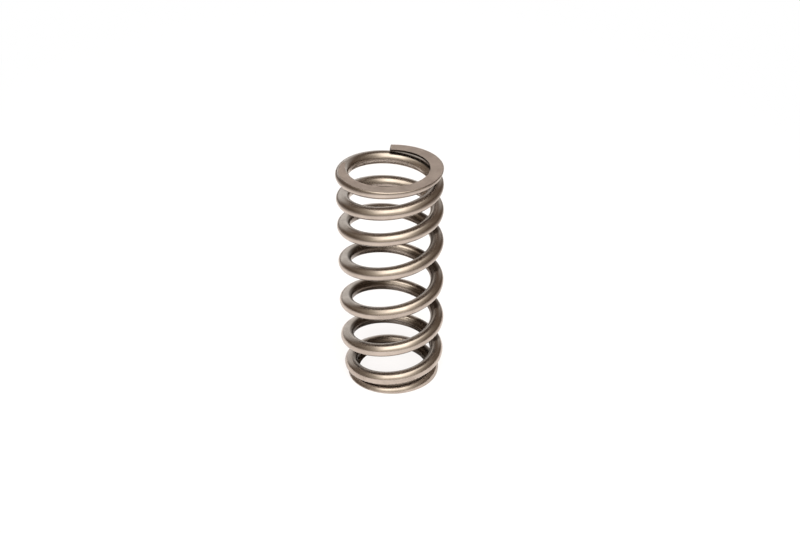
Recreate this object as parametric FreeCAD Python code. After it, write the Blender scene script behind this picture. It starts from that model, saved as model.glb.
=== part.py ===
# Engine valve spring: one length of round wire, coiled right-handed, with both end coils closed
# and ground flat. The pitch opens out from the top, is widest a little above the middle, and
# closes again at the bottom, where the coils also draw in to a smaller diameter.
# All sizes are in millimetres. The coil axis is Z, and the origin is the centre of the bottom
# ground face.
import FreeCAD, Part
import math
import os

# Wire and coil
wire_diameter = 3.5
outside_diameter = 27.7
bottom_outside_diameter = 24.8
free_height = 61.4
turns = 7.86
top_tip_bearing = 88.0          # degrees anticlockwise from +X, where the top end of the wire lies

# Where the coils draw in, in turns from the bottom end of the wire
draw_in_starts = 1.97
draw_in_ends = 0.45

# Pitch along the wire. The widest pitch isn't here: the free height sets it.
top_closed_turns = 0.57         # turns of the flat-lying top end coil
close_wound_starts = 1.03       # turns from the top end of the wire
close_wound_ends = 2.12         # turns from the top end of the wire
close_wound_gap = 3.8          # clear space between the wires there
widest_place = 4.13             # turns from the bottom end of the wire
lower_place = 2.09              # turns from the bottom end of the wire
lower_gap = 7.4                # clear space between the wires there
bottom_closed_turns = 0.64      # turns of the flat-lying bottom end coil

# Ends of the wire
end_gap = 0.15                  # between each end of the wire and the coil beside it
top_tip_thickness = 1.05        # of the ground end of the wire
bottom_tip_thickness = 0.5
shear_lean = 14.0               # degrees, how far the cut end faces lean under
tip_edge_radius = 0.2           # on the edge where a cut end face meets the ground face
trim_turns = 0.006              # extra wire at each end, cut off by the shear

# How finely the coil's path is drawn
points_per_turn = 24

# Values that follow from the ones above
wire_radius = wire_diameter / 2
coil_radius = (outside_diameter - wire_diameter) / 2
bottom_coil_radius = (bottom_outside_diameter - wire_diameter) / 2
top_rise = wire_radius - top_tip_thickness          # wire centre above the top ground face
bottom_fall = wire_radius - bottom_tip_thickness    # wire centre below the bottom ground face
end_turn_drop = wire_diameter + end_gap             # from each end of the wire to one turn on


def pitch_law(top_pitch, widest_pitch, bottom_pitch):
    """Turn and pitch at each change. The pitch runs in straight lines between them."""
    close_wound_pitch = wire_diameter + close_wound_gap
    lower_pitch = wire_diameter + lower_gap
    return [
        (-trim_turns, top_pitch),
        (top_closed_turns, top_pitch),
        (close_wound_starts, close_wound_pitch),
        (close_wound_ends, close_wound_pitch),
        (turns - widest_place, widest_pitch),
        (turns - lower_place, lower_pitch),
        (turns - bottom_closed_turns, bottom_pitch),
        (turns + trim_turns, bottom_pitch),
    ]


def depth_at(law, turn):
    """How far the wire has come down from the start of the law: the area under it."""
    depth = 0.0
    for (turn_a, pitch_a), (turn_b, pitch_b) in zip(law, law[1:]):
        end = min(turn, turn_b)
        if end > turn_a:
            pitch_at_end = pitch_a + (pitch_b - pitch_a) * (end - turn_a) / (turn_b - turn_a)
            depth += (pitch_a + pitch_at_end) / 2 * (end - turn_a)
    return depth


def drop_between(law, first_turn, last_turn):
    return depth_at(law, last_turn) - depth_at(law, first_turn)


def pitch_for_drop(law_with, first_turn, last_turn, wanted_drop):
    """The one open pitch that gives a wanted drop, which grows in step with it."""
    drop_at_zero = drop_between(law_with(0.0), first_turn, last_turn)
    drop_at_one = drop_between(law_with(1.0), first_turn, last_turn)
    return (wanted_drop - drop_at_zero) / (drop_at_one - drop_at_zero)


def solve_pitch_law():
    """Close both end coils to their gap, then let the free height set the widest pitch."""
    top_pitch = pitch_for_drop(
        lambda pitch: pitch_law(pitch, 0.0, 0.0), 0.0, 1.0, end_turn_drop)
    bottom_pitch = pitch_for_drop(
        lambda pitch: pitch_law(0.0, 0.0, pitch), turns - 1.0, turns, end_turn_drop)
    whole_drop = top_rise + free_height + bottom_fall
    widest_pitch = pitch_for_drop(
        lambda pitch: pitch_law(top_pitch, pitch, bottom_pitch), 0.0, turns, whole_drop)
    return pitch_law(top_pitch, widest_pitch, bottom_pitch)


def radius_at(turn):
    """Radius of the wire's centre line: full above, then easing in to the bottom coils."""
    start = turns - draw_in_starts
    end = turns - draw_in_ends
    share = min(max((turn - start) / (end - start), 0.0), 1.0)
    ease = share * share * (3 - 2 * share)
    return coil_radius - (coil_radius - bottom_coil_radius) * ease


def bearing_at(turn):
    return math.radians(top_tip_bearing) - 2 * math.pi * turn


def centre_at(law, turn):
    """Point on the wire's centre line, counted in turns down from the top end."""
    bearing = bearing_at(turn)
    radius = radius_at(turn)
    height = free_height + top_rise - drop_between(law, 0.0, turn)
    return FreeCAD.Vector(radius * math.cos(bearing), radius * math.sin(bearing), height)


def sweep_wire(law):
    """The round wire along the whole coil, a little too long at both ends."""
    first_turn = -trim_turns
    swept_turns = turns + 2 * trim_turns
    steps = math.ceil(swept_turns * points_per_turn)
    points = [centre_at(law, first_turn + swept_turns * step / steps) for step in range(steps + 1)]
    path = Part.BSplineCurve()
    path.interpolate(points)
    start_direction = path.tangent(path.FirstParameter)[0]
    section = Part.Wire([Part.Circle(points[0], start_direction, wire_radius).toShape()])
    sweep = Part.BRepOffsetAPI.MakePipeShell(Part.Wire([path.toShape()]))
    sweep.setFrenetMode(True)
    sweep.add(section)
    sweep.build()
    sweep.makeSolid()
    return sweep.shape()


def grind_ends(coil):
    """Keep what lies between the two ground faces."""
    reach = outside_diameter
    slab = Part.makeBox(2 * reach, 2 * reach, free_height, FreeCAD.Vector(-reach, -reach, 0))
    return coil.common(slab)


def shear_cutter(turn, way_out, ground_height, into_wire, tip_thickness):
    """Block that cuts one end of the wire off at a lean, clear of the coil beside it.

    way_out is +1 where the wire's end points anticlockwise, and -1 where it points clockwise.
    into_wire is the Z direction from the ground face into the wire, +1 or -1.
    """
    bearing = bearing_at(turn)
    radial = FreeCAD.Vector(math.cos(bearing), math.sin(bearing), 0)
    outward = FreeCAD.Vector(-math.sin(bearing), math.cos(bearing), 0) * way_out
    upright = FreeCAD.Vector(0, 0, into_wire)
    inner_side = radial * (radius_at(turn) - wire_diameter)
    ground_edge = inner_side + FreeCAD.Vector(0, 0, ground_height)
    above = -tip_thickness
    below = tip_thickness + end_gap / 2
    lean = math.tan(math.radians(shear_lean))
    reach = 1.5 * trim_turns * 2 * math.pi * radius_at(turn)
    corners = [
        ground_edge + outward * (above * lean) + upright * above,
        ground_edge + outward * (below * lean) + upright * below,
        ground_edge + outward * reach + upright * below,
        ground_edge + outward * reach + upright * above,
    ]
    outline = Part.makePolygon(corners + corners[:1])
    return Part.Face(outline).extrude(radial * (2 * wire_diameter))


def tip_edges(spring):
    """The two straight edges where a cut end face meets a ground face."""
    edges = []
    for edge in spring.Edges:
        low = min(vertex.Z for vertex in edge.Vertexes)
        high = max(vertex.Z for vertex in edge.Vertexes)
        on_ground = abs(high) < 1e-6 or abs(low - free_height) < 1e-6
        if on_ground and isinstance(edge.Curve, Part.Line):
            edges.append(edge)
    return edges


def build_valve_spring():
    coil = grind_ends(sweep_wire(solve_pitch_law()))
    top_cutter = shear_cutter(0.0, 1, free_height, -1, top_tip_thickness)
    bottom_cutter = shear_cutter(turns, -1, 0.0, 1, bottom_tip_thickness)
    trimmed = coil.cut([top_cutter, bottom_cutter])
    rounded = trimmed.makeFillet(tip_edge_radius, tip_edges(trimmed))
    return rounded.Solids[0]


os.makedirs("parts", exist_ok=True)
valve_spring = build_valve_spring()
valve_spring.exportStep("parts/valve_spring.step")
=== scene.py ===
import bpy
import math
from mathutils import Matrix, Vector


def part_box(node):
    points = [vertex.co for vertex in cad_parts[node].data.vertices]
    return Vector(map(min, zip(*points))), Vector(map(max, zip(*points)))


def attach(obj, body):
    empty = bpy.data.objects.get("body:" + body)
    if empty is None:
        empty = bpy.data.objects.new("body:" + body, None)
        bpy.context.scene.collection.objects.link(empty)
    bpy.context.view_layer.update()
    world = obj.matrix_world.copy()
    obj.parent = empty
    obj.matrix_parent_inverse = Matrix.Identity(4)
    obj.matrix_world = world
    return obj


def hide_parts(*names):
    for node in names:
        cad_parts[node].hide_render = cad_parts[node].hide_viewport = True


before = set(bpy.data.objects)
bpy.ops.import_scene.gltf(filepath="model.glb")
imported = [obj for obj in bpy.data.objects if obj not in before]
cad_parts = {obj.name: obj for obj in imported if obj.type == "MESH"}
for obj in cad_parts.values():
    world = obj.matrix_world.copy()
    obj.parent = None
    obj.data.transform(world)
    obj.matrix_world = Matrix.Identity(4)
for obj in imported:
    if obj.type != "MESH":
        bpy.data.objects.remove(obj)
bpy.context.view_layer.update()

mm = 0.001
nodeName = "valve_spring"
footLow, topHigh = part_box(nodeName)
freeHeight = topHigh.z - footLow.z
print("frame loaded, free height %.2f mm" % (freeHeight / mm))


# Small helpers that every tree below uses

def joinTo(tree, socket, value):
    if isinstance(value, bpy.types.NodeSocket):
        tree.links.new(value, socket)
    else:
        socket.default_value = value


def addNode(tree, kind, values=None, **settings):
    node = tree.nodes.new(kind)
    for name, setting in settings.items():
        setattr(node, name, setting)
    for key, value in (values or {}).items():
        joinTo(tree, node.inputs[key], value)
    return node


def calc(tree, operation, first, second=0.0, third=0.0):
    values = {0: first, 1: second, 2: third}
    return addNode(tree, "ShaderNodeMath", values, operation=operation).outputs[0]


def product(tree, *values):
    result = values[0]
    for value in values[1:]:
        result = calc(tree, "MULTIPLY", result, value)
    return result


def vectorCalc(tree, operation, first, second=(0, 0, 0)):
    node = addNode(tree, "ShaderNodeVectorMath", {0: first, 1: second}, operation=operation)
    return node.outputs["Value" if operation in ("LENGTH", "DISTANCE", "DOT_PRODUCT") else "Vector"]


def scaleVector(tree, vector, factor):
    values = {0: vector, "Scale": factor}
    return addNode(tree, "ShaderNodeVectorMath", values, operation="SCALE").outputs[0]


def splitVector(tree, vector):
    return addNode(tree, "ShaderNodeSeparateXYZ", {0: vector}).outputs


def remap(tree, value, fromLow, fromHigh, toLow, toHigh, shape="LINEAR"):
    values = dict(enumerate((value, fromLow, fromHigh, toLow, toHigh)))
    return addNode(tree, "ShaderNodeMapRange", values, interpolation_type=shape).outputs[0]


def mixColours(tree, factor, first, second):
    values = {0: factor, 6: first, 7: second}
    return addNode(tree, "ShaderNodeMix", values, data_type="RGBA").outputs[2]


def combine(tree, x=0.0, y=0.0, z=0.0):
    return addNode(tree, "ShaderNodeCombineXYZ", {0: x, 1: y, 2: z}).outputs[0]


def newSocket(tree, name, direction, kind="NodeSocketFloat"):
    return tree.interface.new_socket(name=name, in_out=direction, socket_type=kind)


def newGeometryTree(name, inputs, outputs):
    # inputs and outputs are {socket name: socket type}
    tree = bpy.data.node_groups.new(name, "GeometryNodeTree")
    for socketName, kind in inputs.items():
        newSocket(tree, socketName, "INPUT", kind)
    for socketName, kind in outputs.items():
        newSocket(tree, socketName, "OUTPUT", kind)
    return tree, tree.nodes.new("NodeGroupInput").outputs, tree.nodes.new("NodeGroupOutput").inputs


def placeGroup(tree, group, values):
    isGeometry = tree.bl_idname == "GeometryNodeTree"
    node = tree.nodes.new("GeometryNodeGroup" if isGeometry else "ShaderNodeGroup")
    node.node_tree = group
    for key, value in values.items():
        joinTo(tree, node.inputs[key], value)
    return node


# The spring is one wire, coiled by a rule, with both ends ground flat and cut off

springSizes = {
    "wireDiameter": 3.5 * mm,
    "outsideDiameter": 27.7 * mm,
    "footOutsideDiameter": 24.8 * mm,
    "turns": 7.86,
    "topTipBearing": math.radians(88.0),
    "drawInStarts": 1.97,          # turns up from the foot end of the wire
    "drawInEnds": 0.45,
    "topClosedTurns": 0.57,        # turns down from the top end
    "closeWoundStarts": 1.03,
    "closeWoundEnds": 2.12,
    "closeWoundGap": 3.8 * mm,
    "widestPlace": 4.13,           # turns up from the foot end
    "lowerPlace": 2.09,
    "lowerGap": 7.4 * mm,
    "footClosedTurns": 0.64,
    "endGap": 0.15 * mm,
    "topTipThickness": 1.05 * mm,
    "footTipThickness": 0.5 * mm,
    "shearLean": math.radians(14.0),
    "shearFade": 0.03,             # turns over which the lean runs out into the wire
    "edgeBreak": 0.09 * mm,        # width of the broken edge round each ground face
}

springMesh = {
    "rowsPerTurn": 110,
    "halfSection": 24,             # steps from the underside of the wire to its crest
    "flatSteps": 5,                # of those, the steps that a ground face takes
    "narrowestFlat": math.radians(4.0),
    "flatFadesOver": 0.6 * mm,     # crest depth over which the steps even out again
    "weldDistance": 0.001 * mm,
    "planeSliver": 0.0005 * mm,    # a face within this of an end plane is a ground one
}

# the places along the wire where the pitch changes, in the order of the law below
pitchStations = ("Top End", "Top Closed", "Close Wound", "Close Wound Last", "Widest", "Lower",
                 "Foot Closed", "Foot End")


def pitchLaw(topPitch, widestPitch, footPitch):
    # (turn, pitch) where the pitch changes, with straight lines between
    sizes = springSizes
    closePitch = sizes["wireDiameter"] + sizes["closeWoundGap"]
    lowerPitch = sizes["wireDiameter"] + sizes["lowerGap"]
    return [
        (0.0, topPitch),
        (sizes["topClosedTurns"], topPitch),
        (sizes["closeWoundStarts"], closePitch),
        (sizes["closeWoundEnds"], closePitch),
        (sizes["turns"] - sizes["widestPlace"], widestPitch),
        (sizes["turns"] - sizes["lowerPlace"], lowerPitch),
        (sizes["turns"] - sizes["footClosedTurns"], footPitch),
        (sizes["turns"], footPitch),
    ]


def dropBetween(law, firstTurn, lastTurn):
    # the wire comes down by the area under the law
    drop = 0.0
    for (turnA, pitchA), (turnB, pitchB) in zip(law, law[1:]):
        start, end = max(firstTurn, turnA), min(lastTurn, turnB)
        if end > start:
            slope = (pitchB - pitchA) / (turnB - turnA)
            drop += (pitchA + slope * ((start + end) / 2 - turnA)) * (end - start)
    return drop


def pitchForDrop(lawWith, firstTurn, lastTurn, wantedDrop):
    dropAtZero = dropBetween(lawWith(0.0), firstTurn, lastTurn)
    dropAtOne = dropBetween(lawWith(1.0), firstTurn, lastTurn)
    return (wantedDrop - dropAtZero) / (dropAtOne - dropAtZero)


def solvePitchLaw():
    sizes = springSizes
    endDrop = sizes["wireDiameter"] + sizes["endGap"]
    turns = sizes["turns"]
    topPitch = pitchForDrop(lambda pitch: pitchLaw(pitch, 0.0, 0.0), 0.0, 1.0, endDrop)
    footPitch = pitchForDrop(lambda pitch: pitchLaw(0.0, 0.0, pitch), turns - 1, turns, endDrop)
    wholeDrop = sizes["wireDiameter"] - sizes["topTipThickness"] - sizes["footTipThickness"] + freeHeight
    widestPitch = pitchForDrop(lambda pitch: pitchLaw(topPitch, pitch, footPitch), 0.0, turns, wholeDrop)
    return pitchLaw(topPitch, widestPitch, footPitch)


def makeSpanGroup():
    # one stretch of the pitch law: what it adds to the drop and to the pitch at a turn
    inputs = {name: "NodeSocketFloat" for name in
              ("Turn", "From Turn", "To Turn", "From Pitch", "To Pitch")}
    outputs = {"Drop": "NodeSocketFloat", "Pitch Change": "NodeSocketFloat"}
    tree, given, result = newGeometryTree("pitchSpan", inputs, outputs)
    length = calc(tree, "SUBTRACT", given["To Turn"], given["From Turn"])
    share = remap(tree, given["Turn"], given["From Turn"], given["To Turn"], 0.0, 1.0)
    pitchRise = calc(tree, "SUBTRACT", given["To Pitch"], given["From Pitch"])
    change = calc(tree, "MULTIPLY", pitchRise, share)
    meanPitch = calc(tree, "MULTIPLY_ADD", change, 0.5, given["From Pitch"])
    covered = calc(tree, "MULTIPLY", length, share)
    joinTo(tree, result["Drop"], calc(tree, "MULTIPLY", meanPitch, covered))
    joinTo(tree, result["Pitch Change"], change)
    return tree


def stationInputs():
    return [station + part for station in pitchStations for part in (" Turn", " Pitch")]


def makeCoilLineGroup():
    # the wire's centre line at any turn, with the directions of its round section
    names = ["Turn", "Radius", "Foot Radius", "Draw In Start", "Draw In End", "Top Tip Bearing",
             "Start Height"] + stationInputs()
    outputs = {"Centre": "NodeSocketVector", "Outward": "NodeSocketVector",
               "Upward": "NodeSocketVector", "Onward": "NodeSocketVector",
               "Steepness": "NodeSocketFloat", "Height": "NodeSocketFloat"}
    inputs = {name: "NodeSocketFloat" for name in names}
    tree, given, result = newGeometryTree("coilLine", inputs, outputs)
    spanGroup = makeSpanGroup()
    drop, pitch = 0.0, given[pitchStations[0] + " Pitch"]
    for stationA, stationB in zip(pitchStations, pitchStations[1:]):
        span = placeGroup(tree, spanGroup, {
            "Turn": given["Turn"],
            "From Turn": given[stationA + " Turn"], "To Turn": given[stationB + " Turn"],
            "From Pitch": given[stationA + " Pitch"], "To Pitch": given[stationB + " Pitch"]}).outputs
        drop = calc(tree, "ADD", drop, span["Drop"])
        pitch = calc(tree, "ADD", pitch, span["Pitch Change"])
    height = calc(tree, "SUBTRACT", given["Start Height"], drop)
    radius = remap(tree, given["Turn"], given["Draw In Start"], given["Draw In End"],
                   given["Radius"], given["Foot Radius"], "SMOOTHSTEP")
    bearing = calc(tree, "MULTIPLY_ADD", given["Turn"], -2 * math.pi, given["Top Tip Bearing"])
    cosine, sine = calc(tree, "COSINE", bearing), calc(tree, "SINE", bearing)
    outward = combine(tree, cosine, sine)
    centre = vectorCalc(tree, "ADD", scaleVector(tree, outward, radius), combine(tree, z=height))
    # the lead angle tips the section so that it stays square to the wire
    lead = calc(tree, "ARCTAN2", pitch, calc(tree, "MULTIPLY", radius, 2 * math.pi))
    alongRing = combine(tree, sine, calc(tree, "MULTIPLY", cosine, -1.0))
    leadCosine, leadSine = calc(tree, "COSINE", lead), calc(tree, "SINE", lead)
    upLead = combine(tree, z=leadCosine)
    upward = vectorCalc(tree, "ADD", scaleVector(tree, alongRing, leadSine), upLead)
    downLead = combine(tree, z=calc(tree, "MULTIPLY", leadSine, -1.0))
    onward = vectorCalc(tree, "ADD", scaleVector(tree, alongRing, leadCosine), downLead)
    for name, value in (("Centre", centre), ("Outward", outward), ("Upward", upward),
                        ("Onward", onward), ("Steepness", leadCosine), ("Height", height)):
        joinTo(tree, result[name], value)
    return tree


def makeFlatGroup():
    # where a ground face cuts the round section: its height on the section and its half-angle
    inputs = {name: "NodeSocketFloat" for name in
              ("Room", "Wire Radius", "Steepness", "Edge Break", "Narrowest", "Widest", "Fade")}
    outputs = {name: "NodeSocketFloat" for name in ("Level", "Angle", "Break")}
    tree, given, result = newGeometryTree("groundFlat", inputs, outputs)
    # Room is the height left between the wire's centre and the ground face
    level = calc(tree, "DIVIDE", given["Room"], given["Steepness"])
    share = calc(tree, "MINIMUM", calc(tree, "DIVIDE", level, given["Wire Radius"]), 1.0)
    spare = calc(tree, "SUBTRACT", level, given["Wire Radius"])
    evenAngle = remap(tree, spare, 0.0, given["Fade"], given["Narrowest"], given["Widest"])
    angle = calc(tree, "MAXIMUM", calc(tree, "ARCCOSINE", share), evenAngle)
    cutDepth = calc(tree, "MULTIPLY", spare, -0.5)
    edgeBreak = calc(tree, "MINIMUM", calc(tree, "MAXIMUM", cutDepth, 0.0), given["Edge Break"])
    for name, value in (("Level", level), ("Angle", angle), ("Break", edgeBreak)):
        joinTo(tree, result[name], value)
    return tree


def makeSectionRows(tree, lastRow):
    # a flat grid: one row of points for each section of the wire, and one column round it
    halfSteps = springMesh["halfSection"]
    grid = addNode(tree, "GeometryNodeMeshGrid", {
        "Size X": float(lastRow), "Size Y": 2.0 * halfSteps,
        "Vertices X": lastRow + 1, "Vertices Y": 2 * halfSteps + 1}).outputs["Mesh"]
    place = splitVector(tree, addNode(tree, "GeometryNodeInputPosition").outputs[0])
    kept = addNode(tree, "GeometryNodeCaptureAttribute", {"Geometry": grid})
    for name, value in (("Row", calc(tree, "ADD", place[0], lastRow / 2)), ("Column", place[1])):
        kept.capture_items.new("FLOAT", name)
        joinTo(tree, kept.inputs[name], value)
    return kept.outputs["Geometry"], kept.outputs["Row"], kept.outputs["Column"]


def placeOnSection(tree, climb, wireRadius, footFlat, topFlat):
    # x outward and y upward from the wire's centre: round, and flat where a ground face cuts it
    halfSteps, flatSteps = springMesh["halfSection"], springMesh["flatSteps"]
    breakAngles = [calc(tree, "DIVIDE", flat["Break"], wireRadius) for flat in (footFlat, topFlat)]
    arcStart = calc(tree, "ADD", footFlat["Angle"], breakAngles[0])
    arcEnd = calc(tree, "SUBTRACT", math.pi, calc(tree, "ADD", topFlat["Angle"], breakAngles[1]))
    arcAngle = remap(tree, climb, float(flatSteps), float(halfSteps - flatSteps), arcStart, arcEnd)
    arcX = product(tree, wireRadius, calc(tree, "SINE", arcAngle))
    arcY = product(tree, wireRadius, calc(tree, "COSINE", arcAngle), -1.0)

    def flatPoint(flat, stepsFromMiddle):
        halfWidth = calc(tree, "MULTIPLY", wireRadius, calc(tree, "SINE", flat["Angle"]))
        inset = calc(tree, "SUBTRACT", halfWidth, flat["Break"])
        share = calc(tree, "DIVIDE", stepsFromMiddle, flatSteps - 1.0)
        x = calc(tree, "MULTIPLY", inset, share)
        squares = calc(tree, "SUBTRACT", calc(tree, "POWER", wireRadius, 2.0), calc(tree, "POWER", x, 2.0))
        return x, calc(tree, "MINIMUM", calc(tree, "SQRT", squares), flat["Level"])

    footX, footDepth = flatPoint(footFlat, climb)
    topX, topY = flatPoint(topFlat, calc(tree, "SUBTRACT", float(halfSteps), climb))
    onFoot = calc(tree, "LESS_THAN", climb, flatSteps - 0.5)
    onTop = calc(tree, "GREATER_THAN", climb, halfSteps - flatSteps + 0.5)

    def choose(onArc, onFootFlat, onTopFlat):
        picked = onArc
        for switch, value in ((onFoot, onFootFlat), (onTop, onTopFlat)):
            values = {"Switch": switch, "False": picked, "True": value}
            picked = addNode(tree, "GeometryNodeSwitch", values, input_type="FLOAT").outputs[0]
        return picked

    return choose(arcX, footX, topX), choose(arcY, calc(tree, "MULTIPLY", footDepth, -1.0), topY)


def closeCutEnds(tree, x, y, rowsIn, footLevel, topLevel, edgeBreak):
    # the outermost row shrinks to a point, and the next one is inset by the broken edge
    middleY = calc(tree, "MULTIPLY", calc(tree, "ADD", footLevel, topLevel), 0.5)
    halfDepth = calc(tree, "MULTIPLY", calc(tree, "SUBTRACT", topLevel, footLevel), 0.5)
    insetShare = calc(tree, "SUBTRACT", 1.0, calc(tree, "DIVIDE", edgeBreak, halfDepth))
    isPole = calc(tree, "LESS_THAN", rowsIn, 0.5)
    isInset = calc(tree, "SUBTRACT", calc(tree, "LESS_THAN", rowsIn, 1.5), isPole)
    shrink = calc(tree, "SUBTRACT", calc(tree, "SUBTRACT", 1.0, isPole),
                  calc(tree, "MULTIPLY", isInset, calc(tree, "SUBTRACT", 1.0, insetShare)))
    closedY = calc(tree, "MULTIPLY_ADD", calc(tree, "SUBTRACT", y, middleY), shrink, middleY)
    return calc(tree, "MULTIPLY", x, shrink), closedY


def leanOfShear(tree, y, turn, given, footLevel, topLevel):
    # each cut end leans: further out along the wire, the further from its ground face
    fade = springSizes["shearFade"]
    fromStart = remap(tree, turn, 0.0, fade, 1.0, 0.0)
    fadeStart = calc(tree, "SUBTRACT", given["Turns"], fade)
    fromEnd = remap(tree, turn, fadeStart, given["Turns"], 0.0, 1.0)
    topDepth = calc(tree, "MULTIPLY", calc(tree, "SUBTRACT", topLevel, y), fromStart)
    footDepth = calc(tree, "MULTIPLY", calc(tree, "SUBTRACT", y, footLevel), fromEnd)
    return calc(tree, "MULTIPLY", calc(tree, "SUBTRACT", footDepth, topDepth),
                calc(tree, "TANGENT", given["Shear Lean"]))


def finishFaces(tree, geometry, given, rowsIn):
    # the ground faces lie in the end planes, and the cut ones are in the outermost rows
    faceHeight = splitVector(tree, addNode(tree, "GeometryNodeInputPosition").outputs[0])[2]
    sliver = springMesh["planeSliver"]
    topLimit = calc(tree, "SUBTRACT", given["Free Height"], sliver)
    onTopFace = calc(tree, "GREATER_THAN", faceHeight, topLimit)
    onFootFace = calc(tree, "LESS_THAN", faceHeight, sliver)
    marks = addNode(tree, "GeometryNodeCaptureAttribute", {"Geometry": geometry}, domain="FACE")
    for name, value in (("Ground", calc(tree, "MAXIMUM", onTopFace, onFootFace)),
                        ("Cut", calc(tree, "LESS_THAN", rowsIn, 1.0))):
        marks.capture_items.new("FLOAT", name)
        joinTo(tree, marks.inputs[name], value)
    groundFaces, cutFaces = marks.outputs["Ground"], marks.outputs["Cut"]
    values = {"Geometry": marks.outputs["Geometry"], "Distance": springMesh["weldDistance"]}
    welded = addNode(tree, "GeometryNodeMergeByDistance", values).outputs[0]
    isRound = calc(tree, "LESS_THAN", calc(tree, "MAXIMUM", groundFaces, cutFaces), 0.5)
    values = {"Geometry": welded, "Shade Smooth": isRound}
    smooth = addNode(tree, "GeometryNodeSetShadeSmooth", values).outputs[0]
    finished = addNode(tree, "GeometryNodeRealizeInstances", {"Geometry": smooth}).outputs[0]
    for faces, finish in ((True, "Wire Finish"), (groundFaces, "Ground Finish"), (cutFaces, "Cut Finish")):
        values = {"Geometry": finished, "Selection": faces, "Material": given[finish]}
        finished = addNode(tree, "GeometryNodeSetMaterial", values).outputs[0]
    return finished


def makeSpringTree():
    names = ["Wire Diameter", "Outside Diameter", "Foot Outside Diameter", "Free Height", "Turns",
             "Top Tip Bearing", "Draw In Start", "Draw In End", "Top Tip Thickness",
             "Shear Lean", "Edge Break"] + stationInputs()
    inputs = {name: "NodeSocketFloat" for name in names}
    inputs.update({name: "NodeSocketMaterial" for name in ("Wire Finish", "Ground Finish", "Cut Finish")})
    tree, given, result = newGeometryTree("valveSpring", inputs, {"Geometry": "NodeSocketGeometry"})
    halfSteps, flatSteps = springMesh["halfSection"], springMesh["flatSteps"]
    lastRow = math.ceil(springSizes["turns"] * springMesh["rowsPerTurn"]) + 4
    sections, row, column = makeSectionRows(tree, lastRow)

    wireRadius = calc(tree, "MULTIPLY", given["Wire Diameter"], 0.5)
    coilRadius, footRadius = (
        calc(tree, "SUBTRACT", calc(tree, "MULTIPLY", given[name], 0.5), wireRadius)
        for name in ("Outside Diameter", "Foot Outside Diameter"))
    topRise = calc(tree, "SUBTRACT", wireRadius, given["Top Tip Thickness"])
    startHeight = calc(tree, "ADD", given["Free Height"], topRise)

    # the two outermost rows close each cut end: its middle, and its face inside the broken edge
    ringLength = calc(tree, "MULTIPLY", coilRadius, 2 * math.pi)
    edgeTurns = calc(tree, "DIVIDE", given["Edge Break"], ringLength)
    lastTurn = calc(tree, "SUBTRACT", given["Turns"], edgeTurns)
    runTurn = remap(tree, row, 2.0, lastRow - 2.0, edgeTurns, lastTurn)
    startCap = calc(tree, "LESS_THAN", row, 1.5)
    endCap = calc(tree, "GREATER_THAN", row, lastRow - 1.5)
    capShift = calc(tree, "SUBTRACT", endCap, startCap)
    turn = calc(tree, "MULTIPLY_ADD", capShift, edgeTurns, runTurn)
    line = placeGroup(tree, makeCoilLineGroup(), {
        "Turn": turn, "Radius": coilRadius, "Foot Radius": footRadius,
        "Draw In Start": given["Draw In Start"], "Draw In End": given["Draw In End"],
        "Top Tip Bearing": given["Top Tip Bearing"], "Start Height": startHeight,
        **{name: given[name] for name in stationInputs()}}).outputs

    flatGroup = makeFlatGroup()
    common = {"Wire Radius": wireRadius, "Steepness": line["Steepness"],
              "Edge Break": given["Edge Break"], "Narrowest": springMesh["narrowestFlat"],
              "Widest": math.pi * flatSteps / halfSteps, "Fade": springMesh["flatFadesOver"]}
    topRoom = calc(tree, "SUBTRACT", given["Free Height"], line["Height"])
    topFlat = placeGroup(tree, flatGroup, {"Room": topRoom, **common}).outputs
    footFlat = placeGroup(tree, flatGroup, {"Room": line["Height"], **common}).outputs
    topLevel = calc(tree, "MINIMUM", topFlat["Level"], wireRadius)
    footLevel = calc(tree, "MULTIPLY", calc(tree, "MINIMUM", footFlat["Level"], wireRadius), -1.0)

    side = calc(tree, "SIGN", column)
    climb = calc(tree, "SUBTRACT", float(halfSteps), calc(tree, "ABSOLUTE", column))
    rowsIn = calc(tree, "MINIMUM", row, calc(tree, "SUBTRACT", float(lastRow), row))
    x, y = placeOnSection(tree, climb, wireRadius, footFlat, topFlat)
    x, y = closeCutEnds(tree, x, y, rowsIn, footLevel, topLevel, given["Edge Break"])
    leanRun = leanOfShear(tree, y, turn, given, footLevel, topLevel)
    outwardX = calc(tree, "MULTIPLY", x, side)
    place = line["Centre"]
    for direction, length in (("Outward", outwardX), ("Upward", y), ("Onward", leanRun)):
        place = vectorCalc(tree, "ADD", place, scaleVector(tree, line[direction], length))

    # how far along the wire a point lies, and where it lies on the section, for the finishes
    wirePlace = combine(tree, calc(tree, "MULTIPLY", turn, ringLength), outwardX, y)
    values = {"Geometry": sections, "Position": place}
    shaped = addNode(tree, "GeometryNodeSetPosition", values).outputs[0]
    values = {"Geometry": shaped, "Name": "wirePlace", "Value": wirePlace}
    marked = addNode(tree, "GeometryNodeStoreNamedAttribute", values,
                     data_type="FLOAT_VECTOR", domain="POINT").outputs[0]
    joinTo(tree, result["Geometry"], finishFaces(tree, marked, given, rowsIn))
    print("spring tree built, %d nodes" % len(tree.nodes))
    return tree


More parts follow.
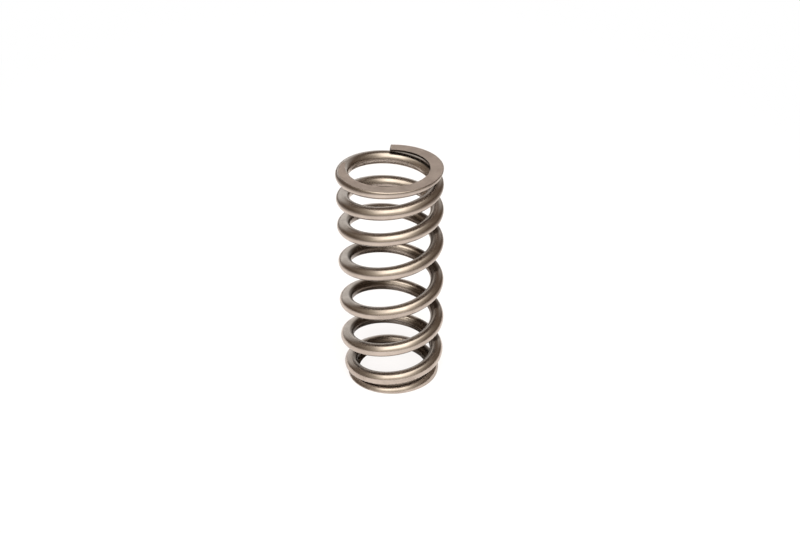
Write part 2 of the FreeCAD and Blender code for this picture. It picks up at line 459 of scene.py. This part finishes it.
def makeSpring(finishes):
    sizes = springSizes
    tree = makeSpringTree()
    holder = bpy.data.objects.new("springRule", bpy.data.meshes.new("springRule"))
    bpy.context.scene.collection.objects.link(holder)
    modifier = holder.modifiers.new("coil", "NODES")
    modifier.node_group = tree
    values = {
        "Wire Diameter": sizes["wireDiameter"], "Outside Diameter": sizes["outsideDiameter"],
        "Foot Outside Diameter": sizes["footOutsideDiameter"], "Free Height": freeHeight,
        "Turns": sizes["turns"], "Top Tip Bearing": sizes["topTipBearing"],
        "Draw In Start": sizes["turns"] - sizes["drawInStarts"],
        "Draw In End": sizes["turns"] - sizes["drawInEnds"],
        "Top Tip Thickness": sizes["topTipThickness"], "Shear Lean": sizes["shearLean"],
        "Edge Break": sizes["edgeBreak"], **finishes}
    for station, (turn, pitch) in zip(pitchStations, solvePitchLaw()):
        values[station + " Turn"] = turn
        values[station + " Pitch"] = pitch
    for item in tree.interface.items_tree:
        if item.in_out == "INPUT":
            modifier[item.identifier] = values[item.name]
    depsgraph = bpy.context.evaluated_depsgraph_get()
    mesh = bpy.data.meshes.new_from_object(holder.evaluated_get(depsgraph), depsgraph=depsgraph)
    bpy.data.objects.remove(holder)
    mesh.materials.pop(index=0)        # the grid's own empty slot
    mesh.name = "springWire"
    spring = bpy.data.objects.new("springWire", mesh)
    bpy.context.scene.collection.objects.link(spring)
    print("spring made, %d faces" % len(mesh.polygons))
    return spring


# Finishes

wireLook = {
    "steel": (0.50, 0.45, 0.41, 1),
    "darker": (0.40, 0.355, 0.32, 1),
    "roughness": 0.2,
    "roughnessSpread": 0.08,
    "dimpleSize": 0.35 * mm,
    "dimpleStrength": 0.12,
    "dimpleDepth": 0.02 * mm,
    "dimpleDetail": 2.0,
    "dimpleHarshness": 0.6,
    "blotchSize": 6 * mm,
}

# Painted shade: the wire's side that faces the coil's axis is darker, most of all low in the coil, with a
# painted shadow under the top end of the wire. Each fade runs from none of that to all of it.
innerShadeLook = {
    "sideShadeTone": (0.115, 0.092, 0.075, 1),
    "outwardFade": (0.5 * mm, -0.35 * mm),     # on the section, from the wire's centre
    "upwardFade": (1.73 * mm, 1.45 * mm),
    "heightFade": (53 * mm, 42 * mm),          # the painted shade deepens down over the foot
    "tipShadowTone": (0.03, 0.023, 0.018, 1),        # painted shadow on the same side under the top end of the wire
    "tipShadowFade": (27 * mm, 17 * mm),             # along the wire from that end
    "overMiddle": (13 * mm, 7 * mm, 0),        # round here the painted shade reaches over the crest
    "overFade": (7.5 * mm, 3.5 * mm),
    "overShift": 1.3 * mm,
    "brightMiddle": (3.0 * mm, 14 * mm, 0),    # and round here the painted shade is weak, so the side stays bright
    "brightFade": (3.5 * mm, 6.5 * mm),
    "brightLeast": 0.1,
}

groundLook = {
    "steel": (0.62, 0.545, 0.505, 1),
    "darker": (0.52, 0.45, 0.415, 1),
    "roughness": 0.5,
    "roughnessSpread": 0.15,
    "blotchSize": 3 * mm,
    "lineSpacing": 0.12 * mm,
    "lineStrength": 0.25,
    "lineDepth": 0.01 * mm,
    "lineDetail": 3.0,
    "wheelCentre": (90 * mm, -50 * mm, 0),
}

cutLook = {
    "steel": wireLook["steel"],
    "darker": groundLook["darker"],
    "roughness": 0.45,
    "blotchSize": 0.8 * mm,
    "grainSize": 0.2 * mm,
    "grainStrength": 0.5,
    "grainDepth": 0.03 * mm,
    "grainDetail": 4.0,
}

mottleNoise = {"Detail": 4.0, "Roughness": 0.55}
mottleContrast = (0.35, 0.65)          # the noise between these runs from the light to the dark tone


def newFinish(name):
    material = bpy.data.materials.new(name)
    material.use_nodes = True
    tree = material.node_tree
    tree.nodes.clear()
    shader = tree.nodes.new("ShaderNodeBsdfPrincipled")
    output = tree.nodes.new("ShaderNodeOutputMaterial")
    tree.links.new(shader.outputs[0], output.inputs[0])
    shader.inputs["Metallic"].default_value = 1.0
    return material, tree, shader


def makeMottleGroup():
    # slow drift of tone over the steel, shared by the three finishes
    tree = bpy.data.node_groups.new("steelMottle", "ShaderNodeTree")
    newSocket(tree, "Place", "INPUT", "NodeSocketVector")
    newSocket(tree, "Blotch Size", "INPUT")
    newSocket(tree, "Light Tone", "INPUT", "NodeSocketColor")
    newSocket(tree, "Dark Tone", "INPUT", "NodeSocketColor")
    newSocket(tree, "Colour", "OUTPUT", "NodeSocketColor")
    newSocket(tree, "Mask", "OUTPUT")
    given = tree.nodes.new("NodeGroupInput").outputs
    result = tree.nodes.new("NodeGroupOutput").inputs
    scale = calc(tree, "DIVIDE", 1.0, given["Blotch Size"])
    noise = addNode(tree, "ShaderNodeTexNoise", {"Vector": given["Place"], "Scale": scale, **mottleNoise})
    mask = remap(tree, noise.outputs[0], *mottleContrast, 0.0, 1.0)
    joinTo(tree, result["Colour"], mixColours(tree, mask, given["Light Tone"], given["Dark Tone"]))
    joinTo(tree, result["Mask"], mask)
    return tree


def placeMottle(tree, group, place, look):
    return placeGroup(tree, group, {"Place": place, "Blotch Size": look["blotchSize"],
                                    "Light Tone": look["steel"], "Dark Tone": look["darker"]}).outputs


def paintInnerShade(tree, place, colour):
    # paints shade on the side that faces the coil's axis, low in the coil, and a darker painted shadow
    # under the top end of the wire
    look = innerShadeLook
    wirePlace = addNode(tree, "ShaderNodeAttribute", attribute_name="wirePlace").outputs["Vector"]
    along, outward, upward = splitVector(tree, wirePlace)
    height = splitVector(tree, place)[2]
    overTheAxis = vectorCalc(tree, "MULTIPLY", place, (1, 1, 0))

    def shareOf(value, fade, least=0.0):
        return remap(tree, value, *look[fade], least, 1.0, "SMOOTHSTEP")

    def shareNear(middle, fade, least=0.0):
        return shareOf(vectorCalc(tree, "DISTANCE", overTheAxis, look[middle]), fade, least)

    lowDown = shareOf(height, "heightFade")
    over = product(tree, shareNear("overMiddle", "overFade"), lowDown, look["overShift"])
    inward = calc(tree, "MULTIPLY", shareOf(calc(tree, "SUBTRACT", outward, over), "outwardFade"),
                  shareOf(calc(tree, "SUBTRACT", upward, over), "upwardFade"))
    notBright = shareNear("brightMiddle", "brightFade", look["brightLeast"])
    sideShadeShare = product(tree, inward, lowDown, notBright)
    # painted shadow under the top end of the wire
    tipShadowShare = product(tree, inward, shareOf(along, "tipShadowFade"))
    return mixColours(tree, tipShadowShare, mixColours(tree, sideShadeShare, colour, look["sideShadeTone"]), look["tipShadowTone"])


def makeWireFinish(mottleGroup):
    material, tree, shader = newFinish("peenedSpringWire")
    look = wireLook
    place = addNode(tree, "ShaderNodeTexCoord").outputs["Object"]
    mottle = placeMottle(tree, mottleGroup, place, look)
    dimples = addNode(tree, "ShaderNodeTexNoise", {
        "Vector": place, "Scale": 1 / look["dimpleSize"],
        "Detail": look["dimpleDetail"], "Roughness": look["dimpleHarshness"]})
    bump = addNode(tree, "ShaderNodeBump", {
        "Strength": look["dimpleStrength"], "Distance": look["dimpleDepth"], "Height": dimples.outputs[0]})
    roughness = calc(tree, "MULTIPLY_ADD", mottle["Mask"], look["roughnessSpread"], look["roughness"])
    # the base colour carries the painted shade of the inner side
    joinTo(tree, shader.inputs["Base Color"], paintInnerShade(tree, place, mottle["Colour"]))
    joinTo(tree, shader.inputs["Roughness"], roughness)
    joinTo(tree, shader.inputs["Normal"], bump.outputs[0])
    return material


def makeGroundFinish(mottleGroup):
    # the grinding wheel's arcs cross both end faces
    material, tree, shader = newFinish("groundEndFace")
    look = groundLook
    place = addNode(tree, "ShaderNodeTexCoord").outputs["Object"]
    mottle = placeMottle(tree, mottleGroup, place, look)
    reach = vectorCalc(tree, "DISTANCE", place, look["wheelCentre"])
    values = {"W": calc(tree, "DIVIDE", reach, look["lineSpacing"]), "Scale": 1.0,
              "Detail": look["lineDetail"]}
    lines = addNode(tree, "ShaderNodeTexNoise", values, noise_dimensions="1D")
    bump = addNode(tree, "ShaderNodeBump", {
        "Strength": look["lineStrength"], "Distance": look["lineDepth"], "Height": lines.outputs[0]})
    roughness = calc(tree, "MULTIPLY_ADD", lines.outputs[0], look["roughnessSpread"], look["roughness"])
    joinTo(tree, shader.inputs["Base Color"], mottle["Colour"])
    joinTo(tree, shader.inputs["Roughness"], roughness)
    joinTo(tree, shader.inputs["Normal"], bump.outputs[0])
    return material


def makeCutFinish(mottleGroup):
    material, tree, shader = newFinish("shearedWireEnd")
    look = cutLook
    place = addNode(tree, "ShaderNodeTexCoord").outputs["Object"]
    mottle = placeMottle(tree, mottleGroup, place, look)
    grain = addNode(tree, "ShaderNodeTexNoise", {
        "Vector": place, "Scale": 1 / look["grainSize"], "Detail": look["grainDetail"]})
    bump = addNode(tree, "ShaderNodeBump", {
        "Strength": look["grainStrength"], "Distance": look["grainDepth"], "Height": grain.outputs[0]})
    joinTo(tree, shader.inputs["Base Color"], mottle["Colour"])
    joinTo(tree, shader.inputs["Normal"], bump.outputs[0])
    shader.inputs["Roughness"].default_value = look["roughness"]
    return material


mottleGroup = makeMottleGroup()
finishes = {
    "Wire Finish": makeWireFinish(mottleGroup),
    "Ground Finish": makeGroundFinish(mottleGroup),
    "Cut Finish": makeCutFinish(mottleGroup),
}
springWire = makeSpring(finishes)
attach(springWire, "root")
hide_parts(nodeName)


# Studio: a white floor and surround, one soft lamp, and a dim room that only the steel mirrors.
# Lengths are in metres, and strengths and powers as Blender takes them.

studio = {
    "floorSize": 3.0,
    "floorColour": (0.93, 0.93, 0.93, 1),
    "floorDrop": 0.02 * mm,        # below the foot, so that the two don't flicker
    "floorWarmShade": (1.0, 0.968, 0.95, 1),       # what the camera sees near the spring, a painted warm tint that shows in its shadow
    "floorOwnWhite": 0.9,          # the share of it there, which keeps the shadow faint
    "lampBearing": 5.0,            # degrees right of the camera
    "lampRise": 64.0,              # degrees above the floor
    "lampDistance": 0.8,
    "lampSize": (0.6, 0.45),
    "lampPower": 16.0,
    "lampColour": (1.0, 0.98, 0.95),
    "surroundStrength": 1.0,
    "surroundFill": 0.6,
}

roomLook = {
    "radius": 1.3,
    "rings": 24,
    "spokes": 96,
    "wall": (0.158, 0.114, 0.083, 1),
    # in degrees: where each patch's middle lies, its half-width and half-height where it is full, and
    # how far it fades beyond them
    "patches": {
        "halo": {"bearing": -3, "rise": 55, "full": (30, 15), "fade": (50, 30),
                 "tone": (0.52, 0.455, 0.375, 1)},
        "frontGlow": {"bearing": 0, "rise": 10, "full": (18, 14), "fade": (46, 26),
                      "tone": (0.84, 0.755, 0.64, 1)},
        "backGlow": {"bearing": -174, "rise": 8, "full": (21, 10), "fade": (34, 28),
                     "tone": (0.95, 0.93, 0.9, 1)},
        "softBox": {"bearing": -3, "rise": 64, "full": (10, 17), "fade": (31, 27),
                    "tone": (2.9, 2.72, 2.42, 1)},
    },
}

# what the steel sees of the floor: painted shade, darker than the floor itself and darker further out
floorMirrorShade = {
    "nearTone": (0.54, 0.505, 0.485, 1),
    "farTone": (0.15, 0.13, 0.115, 1),
    "middle": (-15 * mm, 0, 0),
    "sideNarrowing": (1.6, 1.0, 1.0),
    "fadeFrom": 60 * mm,
    "fadeTo": 320 * mm,
}


def directionOf(bearing, rise):
    # a bearing of 0 points to the camera's side, and grows to the right
    bearing, rise = math.radians(bearing), math.radians(rise)
    level = math.cos(rise)
    return Vector((math.sin(bearing) * level, -math.cos(bearing) * level, math.sin(rise)))


def makeMatt(name):
    material = bpy.data.materials.new(name)
    material.use_nodes = True
    tree = material.node_tree
    tree.nodes.clear()
    output = tree.nodes.new("ShaderNodeOutputMaterial")
    return material, tree, output


def addStageMesh(name, corners, faces, material):
    mesh = bpy.data.meshes.new(name)
    mesh.from_pydata(corners, [], faces)
    mesh.materials.append(material)
    thing = bpy.data.objects.new(name, mesh)
    bpy.context.scene.collection.objects.link(thing)
    return thing


def makeFloor():
    material, tree, output = makeMatt("paleFloor")
    # the camera sees plain white with a faint shadow, and the steel sees the floor with painted shade that
    # deepens further out
    look = floorMirrorShade
    path = tree.nodes.new("ShaderNodeLightPath").outputs
    place = addNode(tree, "ShaderNodeTexCoord").outputs["Object"]
    centred = vectorCalc(tree, "SUBTRACT", place, look["middle"])
    distance = vectorCalc(tree, "LENGTH", vectorCalc(tree, "MULTIPLY", centred, look["sideNarrowing"]))
    far = remap(tree, distance, look["fadeFrom"], look["fadeTo"], 0.0, 1.0, "SMOOTHSTEP")
    mirroredShade = mixColours(tree, far, look["nearTone"], look["farTone"])
    colour = mixColours(tree, path["Is Glossy Ray"], studio["floorColour"], mirroredShade)
    diffuse = addNode(tree, "ShaderNodeBsdfDiffuse", {"Color": colour})
    # painted warm tint near the spring, seen in the floor's shadow
    nearWhiteWarmShade = mixColours(tree, far, studio["floorWarmShade"], (1, 1, 1, 1))
    white = addNode(tree, "ShaderNodeEmission", {"Color": nearWhiteWarmShade})
    ownWhite = remap(tree, far, 0.0, 1.0, studio["floorOwnWhite"], 1.0)
    share = calc(tree, "MULTIPLY", path["Is Camera Ray"], ownWhite)
    shader = addNode(tree, "ShaderNodeMixShader", {0: share, 1: diffuse.outputs[0], 2: white.outputs[0]})
    tree.links.new(shader.outputs[0], output.inputs[0])
    half = studio["floorSize"] / 2
    corners = [(-half, -half, 0), (half, -half, 0), (half, half, 0), (-half, half, 0)]
    floor = addStageMesh("floor", corners, [(0, 1, 2, 3)], material)
    floor.location.z = -studio["floorDrop"]


def patchMask(tree, facing, patch):
    bearing, rise = patch["bearing"], patch["rise"]
    sides = (directionOf(bearing + 90, 0), directionOf(bearing, rise + 90))
    ahead = vectorCalc(tree, "DOT_PRODUCT", facing, directionOf(bearing, rise))
    masks = [calc(tree, "GREATER_THAN", ahead, 0.0)]
    for side, full, fade in zip(sides, patch["full"], patch["fade"]):
        angle = calc(tree, "ABSOLUTE", calc(tree, "ARCSINE", vectorCalc(tree, "DOT_PRODUCT", facing, side)))
        inner, outer = math.radians(full), math.radians(full + fade)
        masks.append(remap(tree, angle, inner, outer, 1.0, 0.0, "SMOOTHSTEP"))
    return product(tree, *masks)


def makeRoom():
    material, tree, output = makeMatt("dimRoom")
    place = addNode(tree, "ShaderNodeTexCoord").outputs["Object"]
    facing = vectorCalc(tree, "NORMALIZE", place)
    colour = roomLook["wall"]
    for patch in roomLook["patches"].values():
        colour = mixColours(tree, patchMask(tree, facing, patch), colour, patch["tone"])
    shader = addNode(tree, "ShaderNodeEmission", {"Color": colour})
    tree.links.new(shader.outputs[0], output.inputs[0])
    rings, spokes = roomLook["rings"], roomLook["spokes"]
    corners = [directionOf(360 * spoke / spokes, 90 * ring / rings) * roomLook["radius"]
               for ring in range(rings + 1) for spoke in range(spokes)]
    faces = []
    for ring in range(rings):
        for spoke in range(spokes):
            onward = (spoke + 1) % spokes
            low, high = ring * spokes, (ring + 1) * spokes
            faces.append((low + spoke, low + onward, high + onward, high + spoke))
    room = addStageMesh("dimRoom", corners, faces, material)
    for seenBy in ("camera", "diffuse", "shadow", "transmission"):
        setattr(room, "visible_" + seenBy, False)


def makeSurround():
    world = bpy.data.worlds.new("surround")
    bpy.context.scene.world = world
    world.use_nodes = True
    tree = world.node_tree
    tree.nodes.clear()
    path = tree.nodes.new("ShaderNodeLightPath").outputs
    seen = calc(tree, "MAXIMUM", path["Is Camera Ray"], path["Is Glossy Ray"])
    seen = calc(tree, "MAXIMUM", seen, path["Is Transmission Ray"])
    strength = remap(tree, seen, 0.0, 1.0, studio["surroundFill"], studio["surroundStrength"])
    background = addNode(tree, "ShaderNodeBackground", {"Color": (1, 1, 1, 1), "Strength": strength})
    output = tree.nodes.new("ShaderNodeOutputWorld")
    tree.links.new(background.outputs[0], output.inputs[0])


def makeLamp():
    middle = Vector((0, 0, freeHeight / 2))
    lamp = bpy.data.lights.new("softLamp", "AREA")
    lamp.shape = "RECTANGLE"
    lamp.size, lamp.size_y = studio["lampSize"]
    lamp.energy = studio["lampPower"]
    lamp.color = studio["lampColour"]
    holder = bpy.data.objects.new("softLamp", lamp)
    outward = directionOf(studio["lampBearing"], studio["lampRise"])
    holder.location = middle + outward * studio["lampDistance"]
    holder.rotation_euler = outward.to_track_quat("Z", "Y").to_euler()
    holder.visible_glossy = False      # the room holds what the steel sees of it
    bpy.context.scene.collection.objects.link(holder)


makeFloor()
makeRoom()
makeSurround()
makeLamp()
print("studio set")


# Camera, from the photograph's own perspective

cameraFit = {
    "focalPixels": 1469.0,
    "distance": 389.4 * mm,
    "rise": math.radians(30.883),
    "roll": math.radians(-0.956),
    "aimPixel": (391.07, 276.66),      # where the aimed-at point lies in the picture
    "aimBelowTop": 32.24 * mm,
    "pictureSize": (800, 533),
    "sensorWidth": 36.0,
    "nearestSeen": 10 * mm,
}


def makeCamera():
    fit = cameraFit
    width, height = fit["pictureSize"]
    back = Vector((0, -math.cos(fit["rise"]), math.sin(fit["rise"])))
    forward, right = -back, Vector((1, 0, 0))
    up = right.cross(forward)
    yaw = math.atan((fit["aimPixel"][0] - width / 2) / fit["focalPixels"])
    pitch = math.atan(-(fit["aimPixel"][1] - height / 2) / fit["focalPixels"] * math.cos(yaw))
    forwardTurned = forward * math.cos(yaw) - right * math.sin(yaw)
    rightTurned = right * math.cos(yaw) + forward * math.sin(yaw)
    forwardFinal = forwardTurned * math.cos(pitch) - up * math.sin(pitch)
    upTurned = up * math.cos(pitch) + forwardTurned * math.sin(pitch)
    rightFinal = rightTurned * math.cos(fit["roll"]) + upTurned * math.sin(fit["roll"])
    upFinal = upTurned * math.cos(fit["roll"]) - rightTurned * math.sin(fit["roll"])
    lens = bpy.data.cameras.new("photoCamera")
    lens.sensor_width = fit["sensorWidth"]
    lens.lens = fit["focalPixels"] * lens.sensor_width / width
    lens.clip_start = fit["nearestSeen"]
    camera = bpy.data.objects.new("photoCamera", lens)
    target = Vector((0, 0, freeHeight - fit["aimBelowTop"]))
    matrix = camera.matrix_world.copy()
    for axis, direction in enumerate((rightFinal, upFinal, -forwardFinal)):
        for part in range(3):
            matrix[part][axis] = direction[part]
    matrix.translation = target + back * fit["distance"]
    camera.matrix_world = matrix
    bpy.context.scene.collection.objects.link(camera)
    bpy.context.scene.camera = camera


makeCamera()
bpy.context.scene.view_settings.view_transform = "Standard"
print("camera set")
